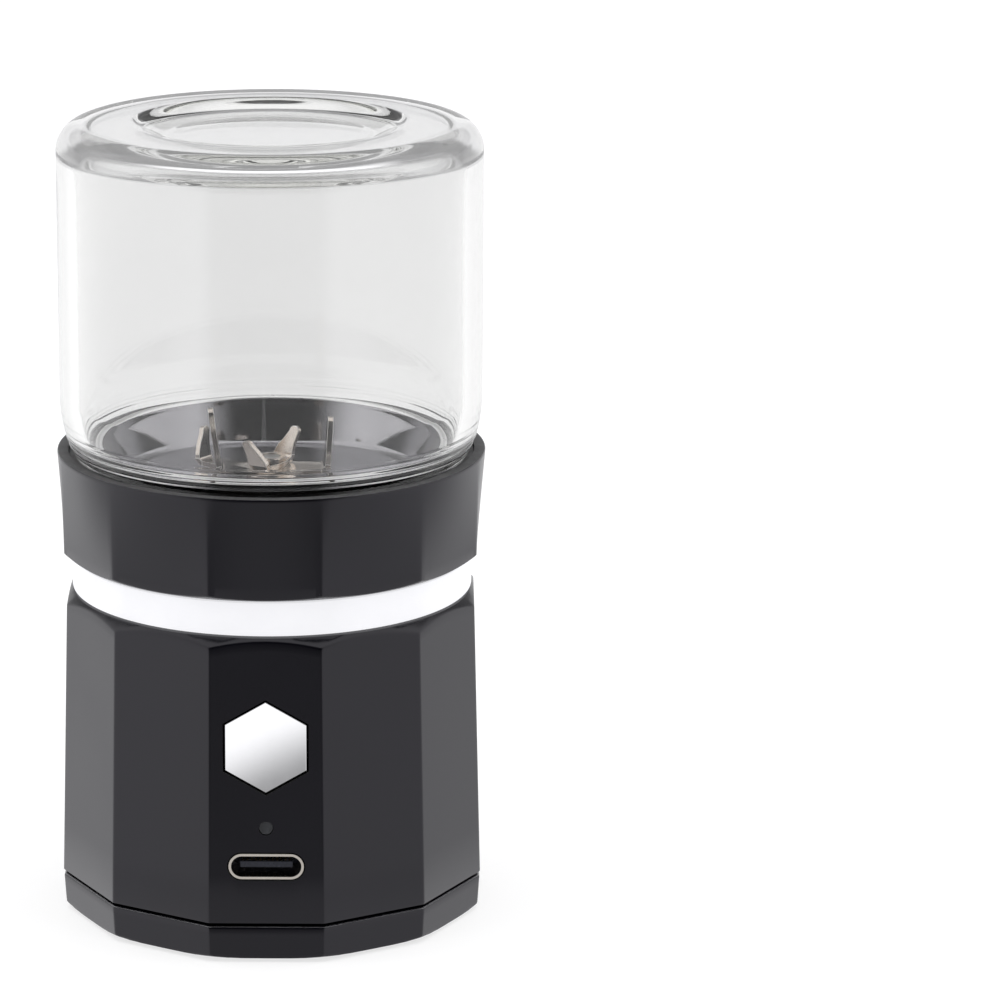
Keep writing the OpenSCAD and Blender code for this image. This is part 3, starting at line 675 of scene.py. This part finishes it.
def jar():
    a_r, b_z = 2.95, 8.3
    neck_r, neck_bore = 23.9, 22.0
    shoulder = COLLAR_Z1 + 7.2
    wall = 2.3
    cavity = JAR_R - wall
    top_round, inner_round = 3.25, 2.2
    punt_r, punt_step, punt, end_t = 12.2, 4.4, 1.5, 2.2
    neck_top = shoulder - b_z * math.sqrt(1 - (1 - (JAR_R - neck_r) / a_r) ** 2)
    flat_r = JAR_R - top_round

    def outer_r(z):
        if z >= shoulder:
            return JAR_R
        r = max(neck_r, JAR_R - a_r * (1 - math.sqrt(1 - ((shoulder - z) / b_z) ** 2)))
        window = max(0.0, 1 - abs(z - COLLAR_Z1 - 1.5) / 1.9)
        return r - 0.09 * window * (1 - math.cos(2 * math.pi * (z - COLLAR_Z1) / 0.95))

    def inner_r(z):
        """Follows the outer wall at an even thickness, easing into the neck's bore."""
        fall = min(1.0, max(0.0, (shoulder - z) / b_z))
        root = math.sqrt(1 - fall * fall) if fall < 0.999 else 0.05
        slope = a_r / b_z * fall / root
        r = JAR_R - a_r * (1 - root) - wall * math.sqrt(1 + slope * slope)
        if z < neck_top + 0.3:
            r = neck_bore - 1.0
        gap = r - neck_bore
        return neck_bore + 0.5 * (gap + math.sqrt(gap * gap + 0.05))

    def dip(r):
        """How far the pushed-in middle lies below the rim at radius r."""
        t = min(1.0, max(0.0, (punt_r + punt_step - r) / punt_step))
        return punt * t * t * (3 - 2 * t)

    profile = arc(neck_r - 0.5, JAR_Z0 + 0.5, 0.5, -90, 0, 6)
    profile += [(neck_r, lerp(JAR_Z0 + 0.5, neck_top, i / 5)) for i in range(1, 6)]
    for i in range(1, 81):
        z = neck_top + (shoulder - neck_top) * i / 80
        profile.append((outer_r(z), z))
    for i in range(1, 15):
        profile.append((JAR_R, lerp(shoulder, JAR_Z1 - top_round, i / 15)))
    profile += arc(JAR_R - top_round, JAR_Z1 - top_round, top_round, 0, 90, 24)
    for i in range(1, 49):
        r = flat_r * (1 - i / 48)
        profile.append((r, JAR_Z1 - dip(r)))
    edge_r = cavity - inner_round
    for i in range(0, 49):
        r = edge_r * i / 48
        profile.append((r, JAR_Z1 - end_t - dip(r + 0.6)))
    floor_z = JAR_Z1 - end_t - dip(edge_r + 0.6)
    profile += arc(edge_r, floor_z - inner_round, inner_round, 90, 0, 12)[1:]
    for i in range(1, 13):
        profile.append((cavity, lerp(floor_z - inner_round, shoulder + 0.5, i / 12)))
    for i in range(1, 45):
        z = lerp(shoulder + 0.5, neck_top - 0.6, i / 44)
        profile.append((min(cavity, inner_r(z)), z))
    profile += [(neck_bore, lerp(neck_top - 0.9, JAR_Z0 + 0.5, i / 4)) for i in range(0, 4)]
    profile += arc(neck_bore + 0.5, JAR_Z0 + 0.5, 0.5, 180, 270, 6)

    def wobble(a, r, z):
        """Slow unevenness of blown glass, a few hundredths of a millimetre, never outward past the box."""
        if r < 2.0:
            return 0.0
        p = Vector((math.cos(a) * 1.7, math.sin(a) * 1.7, z * 0.045))
        if r > JAR_R - 0.8:
            return -0.02 - 0.02 * noise.noise(p * 1.3)
        return 0.05 * noise.noise(p + Vector((7.0, 3.0, 1.0)))

    return lathe("glass_jar_blown", profile, GLASS, 256, 60, wobble)


# ---------------------------------------------------------------- dish, hub and nut


def dish():
    """Spun dish whose rolled lip has its own brighter metal, a painted highlight."""
    t = 0.6
    z = DISH_Z
    fillet = 1.0
    foot = 19.5
    hole_r, bead = 3.25, 0.08
    inside = [(hole_r, z), (6.0, z), (6.5, z + bead), (7.0, z + bead), (7.5, z)]
    inside += [(11.0, z), (15.0, z), (foot - fillet - 0.4, z)]
    inside += arc(foot - fillet, z + fillet, fillet, -90, -13, 14)
    top_in = (DISH_RIM_R - 0.96, DISH_Z1 - 0.7)
    start = inside[-1]
    inside += [(lerp(start[0], top_in[0], i / 6), lerp(start[1], top_in[1], i / 6)) for i in range(1, 7)]
    lip_r = 0.48
    inside += arc(DISH_RIM_R - lip_r, DISH_Z1 - lip_r, lip_r, 165, -40, 18)
    outside = [(foot + 1.5, z + 4.6), (foot + t, z + 1.6), (foot - 0.35, z - 0.1)]
    outside += [(foot - 1.8, z - t), (hole_r, z - t)]
    piece = lathe("chamber_dish_spun", inside + outside, SPUN, 224, 40)
    piece.data.materials.append(LIP_HIGHLIGHT)
    # faces near the rim take the brighter metal as a painted highlight
    for face in piece.data.polygons:
        if face.center.z > (DISH_Z1 - 0.36) * MM:
            face.material_index = 1
    return piece


def hub():
    z = BLADE_Z
    bore = 1.17
    flange = [(bore, z - 0.2), (2.85, z - 0.2), (3.0, z - 0.13), (3.0, z - 0.06), (2.9, z)]
    sleeve = [(1.45, z), (1.45, z + 3 * BLADE_T), (bore, z + 3 * BLADE_T)]
    return lathe("blade_hub_turned", flange + sleeve, BLADE, 96, 30)


def nut():
    z0 = low("blade_nut")[2]
    z1 = high("blade_nut")[2]
    bm = bmesh.new()
    rings = []
    bore, corner_r, count = 1.17, 1.95, 72

    def hex_r(a):
        return corner_r * math.cos(math.pi / 6) / math.cos(a % (math.pi / 3) - math.pi / 6)

    # (height, largest radius), where the last two turn the hexagon's corners off
    outside = [(z0, corner_r), (z1 - 0.2, corner_r), (z1 - 0.07, 1.82), (z1, 1.68)]
    sections = [lambda a, top_r=top_r: min(hex_r(a), top_r) for z, top_r in outside]
    sections += [lambda a: bore] * 2
    for radius, z in zip(sections, [z for z, top_r in outside] + [z1, z0]):
        angles = [2 * math.pi * i / count for i in range(count)]
        rings.append([bm.verts.new((radius(a) * MM * math.cos(a), radius(a) * MM * math.sin(a), z * MM))
                      for a in angles])
    for k, ring in enumerate(rings):
        other = rings[(k + 1) % len(rings)]
        for i in range(count):
            j = (i + 1) % count
            bm.faces.new((ring[i], ring[j], other[j], other[i]))
    return finish_mesh("blade_nut_turned", bm, BLADE, 25)


# ---------------------------------------------------------------- blades

BLADE_T = 0.7
BEND_R = 0.4


def fin_edges(w, h, lean, tip, steps=14):
    """Right and left edges of a swept fin, from its base upward, and the round of its tip."""
    def edge(side, power):
        return [(side * w / 2 + (lean - side * (w - tip) / 2) * (i / steps) ** power,
                 (h - tip / 2) * i / steps) for i in range(steps + 1)]

    hollow, full = 1.9, 1.25
    crown = [(lean + tip / 2 * math.cos(math.pi * i / 10), h - tip / 2 + tip / 2 * math.sin(math.pi * i / 10))
             for i in range(1, 10)]
    if lean < 0:
        return edge(1, full), crown, edge(-1, hollow)
    return edge(1, hollow), crown, edge(-1, full)


def arm_outline(reach, w_root, fin):
    """Unrolled outline of one arm with its fin, along +x, from the root's right side to its left."""
    if fin is None:
        w_end = 2.0
        points = [(0.9, -w_root / 2)]
        points += [(reach - w_end / 2 + w_end / 2 * math.cos(a), w_end / 2 * math.sin(a))
                   for a in [math.radians(-90 + 180 * i / 12) for i in range(13)]]
        return points + [(0.9, w_root / 2)]
    w, h, lean, tip, splay = fin
    turn = math.radians(90 - splay) * (BEND_R + BLADE_T / 2)
    right, crown, left = fin_edges(w, h, lean, tip)
    points = [(0.9, -w_root / 2), (reach, -w / 2)]
    base = reach + turn
    points += [(base + v, u) for u, v in left]
    points += [(base + v, u) for u, v in reversed(crown)]
    points += [(base + v, u) for u, v in reversed(right)]
    return points + [(reach, w / 2), (0.9, w_root / 2)]


def bend(p, reach, splay):
    """Folds an unrolled point up round the bend line at reach."""
    x, y, z = p
    if x <= reach:
        return x, y, z
    full = math.radians(90 - splay)
    mid = BEND_R + BLADE_T / 2
    s = x - reach
    phi = min(s / mid, full)
    rest = max(0.0, s - mid * full)
    rho = BEND_R + BLADE_T - z
    return (reach + rho * math.sin(phi) + rest * math.cos(full), y,
            BEND_R + BLADE_T - rho * math.cos(phi) + rest * math.sin(full))


def blade(name, level, turn_deg, w_root, arms):
    """One stamped blade with two arms; each arm is (reach, fin) and points along +x or -x before the turn."""
    outline = []
    for k, (reach, fin) in enumerate(arms):
        sign = 1 if k == 0 else -1
        outline += [(sign * x, sign * y) for x, y in arm_outline(reach, w_root, fin)]
    bm = bmesh.new()
    verts = [bm.verts.new((x, y, 0)) for x, y in outline]
    bm.faces.new(verts)
    for k, (reach, fin) in enumerate(arms):
        sign = 1 if k == 0 else -1
        if fin is None:
            continue
        turn = math.radians(90 - fin[4]) * (BEND_R + BLADE_T / 2)
        for i in range(9):
            geom = bm.verts[:] + bm.edges[:] + bm.faces[:]
            crease = (sign * (reach + turn * i / 8), 0, 0)
            bmesh.ops.bisect_plane(bm, geom=geom, plane_co=crease, plane_no=(1, 0, 0))
    low_faces = bm.faces[:]
    raised = bmesh.ops.extrude_face_region(bm, geom=low_faces)
    for v in [g for g in raised["geom"] if isinstance(g, bmesh.types.BMVert)]:
        v.co.z = BLADE_T - 0.03
    turn = math.radians(turn_deg)
    base_z = BLADE_Z + level * BLADE_T
    for v in bm.verts:
        sign = 1 if v.co.x >= 0 else -1
        reach, fin = arms[0] if sign > 0 else arms[1]
        p = (sign * v.co.x, sign * v.co.y, v.co.z)
        if fin is not None:
            p = bend(p, reach, fin[4])
        x, y, z = sign * p[0], sign * p[1], p[2]
        across = x * math.cos(turn) - y * math.sin(turn)
        along = x * math.sin(turn) + y * math.cos(turn)
        v.co = Vector((across, along, z + base_z)) * MM
    piece = finish_mesh(name, bm, BLADE, 35)
    mod = piece.modifiers.new("edges", "BEVEL")
    mod.width, mod.segments, mod.limit_method, mod.angle_limit = 0.09 * MM, 2, "ANGLE", math.radians(50)
    mod.harden_normals = False
    # the bevel faces take the near-white metal as a painted edge highlight
    piece.data.materials.append(BLADE_EDGE_HIGHLIGHT)
    mod.material = 1
    return piece


# ---------------------------------------------------------------- front controls


def button():
    """Hexagonal key with a flat, mirror-polished face, a soft edge and dark sides and flange."""
    af = 9.65
    bm = bmesh.new()
    rings = []
    count = 96
    face_y = 0.12

    def ring(scale, y):
        out = []
        for i in range(count):
            a = 2 * math.pi * i / count + math.pi / 2
            d = (a - math.pi / 2) % (math.pi / 3) - math.pi / 6
            r = af / 2 / math.cos(d) * scale
            out.append(bm.verts.new((r * math.cos(a) * MM, y * MM, r * math.sin(a) * MM)))
        return out

    centre = bm.verts.new((0, face_y * MM, 0))
    for s in (0.2, 0.4, 0.6, 0.8, 0.9, 0.984):
        rings.append(ring(s, face_y))
    rings.append(ring(0.982, face_y + 0.012))
    rings.append(ring(0.993, face_y + 0.045))
    rings.append(ring(1.0, face_y + 0.11))
    rings.append(ring(1.0, 2.25))
    rings.append(ring(1.26, 2.25))
    rings.append(ring(1.26, 3.0))
    back = bm.verts.new((0, 3.0 * MM, 0))
    for k in range(len(rings) - 1):
        for i in range(count):
            j = (i + 1) % count
            bm.faces.new((rings[k][i], rings[k][j], rings[k + 1][j], rings[k + 1][i]))
    for i in range(count):
        j = (i + 1) % count
        bm.faces.new((centre, rings[0][j], rings[0][i]))
        bm.faces.new((back, rings[-1][i], rings[-1][j]))
    for face in bm.faces:
        face.material_index = 1 if face.calc_center_median().y > 0.2 * MM else 0
    place = Matrix.Translation((0, -facet_r(BUTTON_Z) * MM, BUTTON_Z * MM))
    place = place @ Matrix.Rotation(-FACET_TILT, 4, "X")
    bmesh.ops.transform(bm, matrix=place, verts=bm.verts)
    key = finish_mesh("power_button_key", bm, MIRROR, 30)
    key.data.materials.append(MOULDED)
    return key


# ---------------------------------------------------------------- assemble

# each arm is (reach of the flat part, fin), each fin (width, height, sweep, tip width, splay in degrees)
LOWER_ARMS = [(9.7, (2.5, 4.0, -1.3, 1.3, 12)), (10.6, None)]
MIDDLE_ARMS = [(5.7, (3.2, 7.5, 0.4, 1.7, 7)), (6.0, (3.2, 5.9, 0.4, 1.7, 4))]
UPPER_ARMS = [(2.2, (2.6, 3.8, -1.2, 1.25, 12)), (2.2, (2.6, 3.1, -1.2, 1.2, 12))]

PIECES = [
    (body_shell(), "base", ["body_shell"], "satin_black"),
    (base_cap(), "base", ["base_cap"], "satin_black"),
    (collar(), "base", ["collar"], "satin_black"),
    (light_ring(), "base", ["light_ring"], "white_diffuser"),
    (dish(), "base", ["chamber_dish"], "polished_steel"),
    (jar(), "jar", ["glass_jar"], "clear_glass"),
    (hub(), "spinner", ["blade_hub"], "blade_steel"),
    (nut(), "spinner", ["blade_nut"], "blade_steel"),
    (blade("blade_lower_stamped", 0, 146, 4.2, LOWER_ARMS), "spinner", ["blade_lower"], "blade_steel"),
    (blade("blade_middle_stamped", 1, 185, 4.2, MIDDLE_ARMS), "spinner", ["blade_middle"], "blade_steel"),
    (blade("blade_upper_stamped", 2, 60, 3.4, UPPER_ARMS), "spinner", ["blade_upper"], "blade_steel"),
    (button(), "button", ["power_button"], "mirror_button"),
]
for piece, body, replaced, slot in PIECES:
    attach(piece, body)
    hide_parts(*replaced)


# ---------------------------------------------------------------- floor, light and camera


def floor():
    """Pale floor that gives off part of its own light to stay white, and that no mirror reflects."""
    m = Nodes("pale_floor")
    cloud = m.noise(3, 3)
    m.tint(cloud, (0.31, 0.31, 0.31), (0.33, 0.33, 0.33))
    m.set(Roughness=0.9, Emission_Color=(1.0, 1.0, 1.0, 1.0), Emission_Strength=0.72)
    mesh = bpy.data.meshes.new("floor")
    s = 4.0
    mesh.from_pydata([(-s, -s, 0), (s, -s, 0), (s, s, 0), (-s, s, 0)], [], [(0, 1, 2, 3)])
    mesh.materials.append(m.mat)
    ground = bpy.data.objects.new("floor", mesh)
    bpy.context.scene.collection.objects.link(ground)
    ground.visible_glossy = False


def studio_world():
    """White room with its own level of light by direction.

    The front is dim, as behind a camera, and the sides, the back and overhead are bright. The lower
    half shows in the black facets and the upper half in the glass and the dish.
    """
    world = bpy.data.worlds.new("studio")
    bpy.context.scene.world = world
    world.use_nodes = True
    tree = world.node_tree
    tree.nodes.clear()

    def add(kind, **values):
        node = tree.nodes.new(kind)
        for key, value in values.items():
            setattr(node, key, value)
        return node

    def math_node(op, a, b=None):
        node = add("ShaderNodeMath", operation=op)
        for k, v in enumerate((a, b)):
            if v is None:
                continue
            if isinstance(v, (int, float)):
                node.inputs[k].default_value = v
            else:
                tree.links.new(v, node.inputs[k])
        return node.outputs[0]

    def smooth(value, lo, hi, to_lo, to_hi):
        node = add("ShaderNodeMapRange", interpolation_type="SMOOTHSTEP")
        tree.links.new(value, node.inputs["Value"])
        node.inputs["From Min"].default_value = lo
        node.inputs["From Max"].default_value = hi
        for key, v in (("To Min", to_lo), ("To Max", to_hi)):
            if isinstance(v, (int, float)):
                node.inputs[key].default_value = v
            else:
                tree.links.new(v, node.inputs[key])
        return node.outputs[0]

    where = add("ShaderNodeTexCoord")
    parts = add("ShaderNodeSeparateXYZ")
    tree.links.new(where.outputs["Generated"], parts.inputs[0])
    x, y, z = parts.outputs
    azimuth = math_node("ABSOLUTE", math_node("ARCTAN2", x, math_node("MULTIPLY", y, -1.0)))
    elevation = math_node("ARCSINE", z)
    rad = math.radians
    right = smooth(x, -0.2, 0.2, 0.0, 1.0)

    def sided(left_value, right_value):
        return smooth(right, 0.0, 1.0, left_value, right_value)

    low_front = smooth(elevation, rad(-25), rad(-14), 0.78, 0.27)
    low_side = smooth(elevation, rad(-25), rad(-14), sided(1.2, 1.1), sided(1.46, 1.26))
    low_level = smooth(azimuth, rad(26), rad(38), low_front, low_side)
    low_level = smooth(azimuth, rad(96), rad(114), low_level, sided(1.52, 1.3))
    low_level = smooth(azimuth, rad(128), rad(146), low_level, 0.95)
    high_level = smooth(azimuth, rad(26), rad(62), 0.02, 1.45)
    high_back = smooth(elevation, rad(11.5), rad(15.5), 0.95, 0.35)
    high_level = smooth(azimuth, rad(112), rad(136), high_level, high_back)
    high_level = smooth(elevation, rad(42), rad(60), high_level, 1.45)
    level = smooth(elevation, rad(-7), rad(5), low_level, high_level)

    # a small white card just under the lens, seen by the polished key
    card = (-0.0357, -0.9650, -0.2600)
    off_x = math_node("SUBTRACT", x, card[0])
    off_z = math_node("SUBTRACT", z, card[2])
    square = math_node("ADD", math_node("MULTIPLY", off_x, off_x), math_node("MULTIPLY", off_z, off_z))
    spread = math_node("SQRT", square)
    facing = math_node("LESS_THAN", y, 0.0)
    inside = math_node("MULTIPLY", smooth(spread, 0.026, 0.032, 1.0, 0.0), facing)
    slant = math_node("SUBTRACT", math_node("MULTIPLY", off_x, 0.45), off_z)
    shade = smooth(slant, -0.004, 0.011, 1.15, 0.36)
    level = smooth(inside, 0.0, 1.0, level, shade)
    background = add("ShaderNodeBackground")
    background.inputs["Color"].default_value = (0.985, 0.985, 1.0, 1.0)
    tree.links.new(level, background.inputs["Strength"])
    out = add("ShaderNodeOutputWorld")
    tree.links.new(background.outputs[0], out.inputs[0])


def softbox(name, where, target, size, power):
    """Area light that lights surfaces but is not itself seen, mirrored or refracted."""
    data = bpy.data.lights.new(name, "AREA")
    data.shape, data.size, data.energy = "SQUARE", size, power
    light = bpy.data.objects.new(name, data)
    light.location = where
    light.rotation_euler = (Vector(target) - Vector(where)).to_track_quat("-Z", "Y").to_euler()
    light.visible_glossy = light.visible_transmission = light.visible_camera = False
    bpy.context.scene.collection.objects.link(light)


def camera():
    data = bpy.data.cameras.new("camera")
    data.sensor_width = 36.0
    data.lens = 159.15
    data.shift_x, data.shift_y = 0.14, -0.035
    cam = bpy.data.objects.new("camera", data)
    cam.location = (0.01840, -0.52030, 0.18940)
    cam.rotation_euler = Vector((-0.01424, 0.96800, -0.25052)).to_track_quat("-Z", "Y").to_euler()
    bpy.context.scene.collection.objects.link(cam)
    bpy.context.scene.camera = cam


floor()
studio_world()
MIDDLE = (0, 0, 0.05)
softbox("overhead", (0.0, 0.1, 0.9), MIDDLE, 0.7, 1.75)
softbox("left", (-0.8, -0.1, 0.5), MIDDLE, 0.3, 0.5)
softbox("right", (0.8, 0.0, 0.5), MIDDLE, 0.3, 0.4)
camera()
bpy.context.scene.view_settings.view_transform = "Standard"
bounces = bpy.context.scene.cycles
bounces.max_bounces, bounces.glossy_bounces, bounces.transmission_bounces = 32, 24, 32
